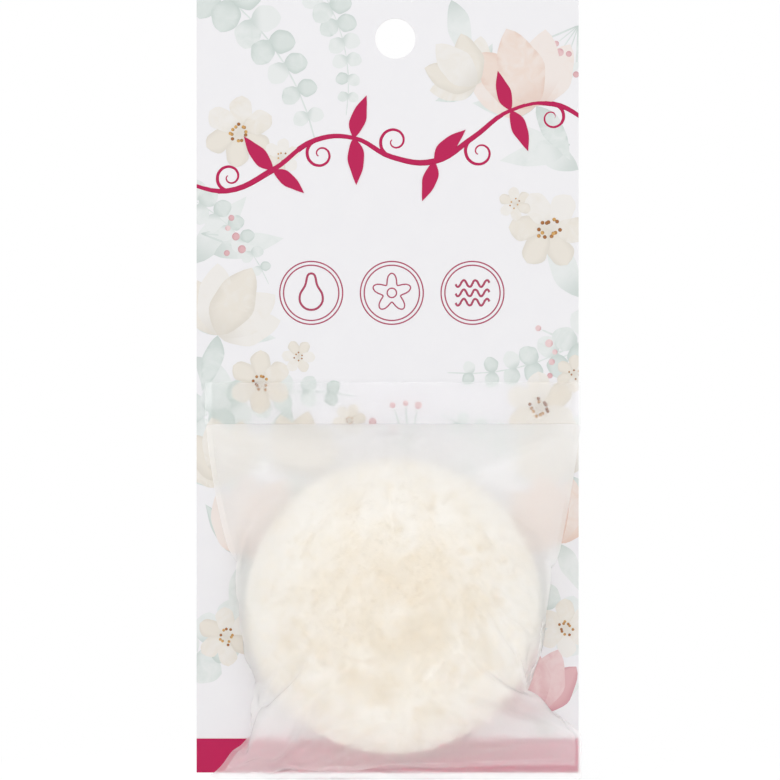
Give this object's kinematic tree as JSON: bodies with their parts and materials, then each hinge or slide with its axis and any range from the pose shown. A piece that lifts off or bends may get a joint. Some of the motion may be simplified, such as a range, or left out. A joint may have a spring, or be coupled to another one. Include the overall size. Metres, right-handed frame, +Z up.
{
  "type": "konjac sponge in hang pack",
  "caption": "Round domed face sponge, loose in a frosted film bag that hangs by its glued top hem from a printed card with a punched hang hole.",
  "frame": {"origin": "centre of the card's hang hole, on the card's back face", "axes": "+Z up along the card's height, the printed front faces -Y, +X to the right as the front is read"},
  "size_m": [0.0905, 0.0251, 0.1832],
  "materials": {
    "card": "coated white board, matt",
    "adhesive": "clear transfer tape",
    "film": "frosted polyethylene film",
    "sponge": "dry open-cell konjac fibre"
  },
  "bodies": {
    "card": {"backing_card": "card", "adhesive_strip": "adhesive", "bag_top_hem": "film"},
    "bag": {"bag_front_panel": "film", "bag_back_panel": "film", "bag_left_seam": "film", "bag_right_seam": "film", "bag_bottom_seam": "film"},
    "sponge": {"konjac_sponge": "sponge"}
  },
  "joints": [
    {"name": "bag_lift", "type": "hinge", "parent": "card", "child": "bag", "pos_m": [-0.0005, -0.0012, -0.0909], "axis": [-1, 0, 0], "range_deg": [0, 100]},
    {"name": "sponge_shift", "type": "slide", "parent": "bag", "child": "sponge", "axis": [0, 0, 1], "range_m": [0, 0.004]}
  ]
}
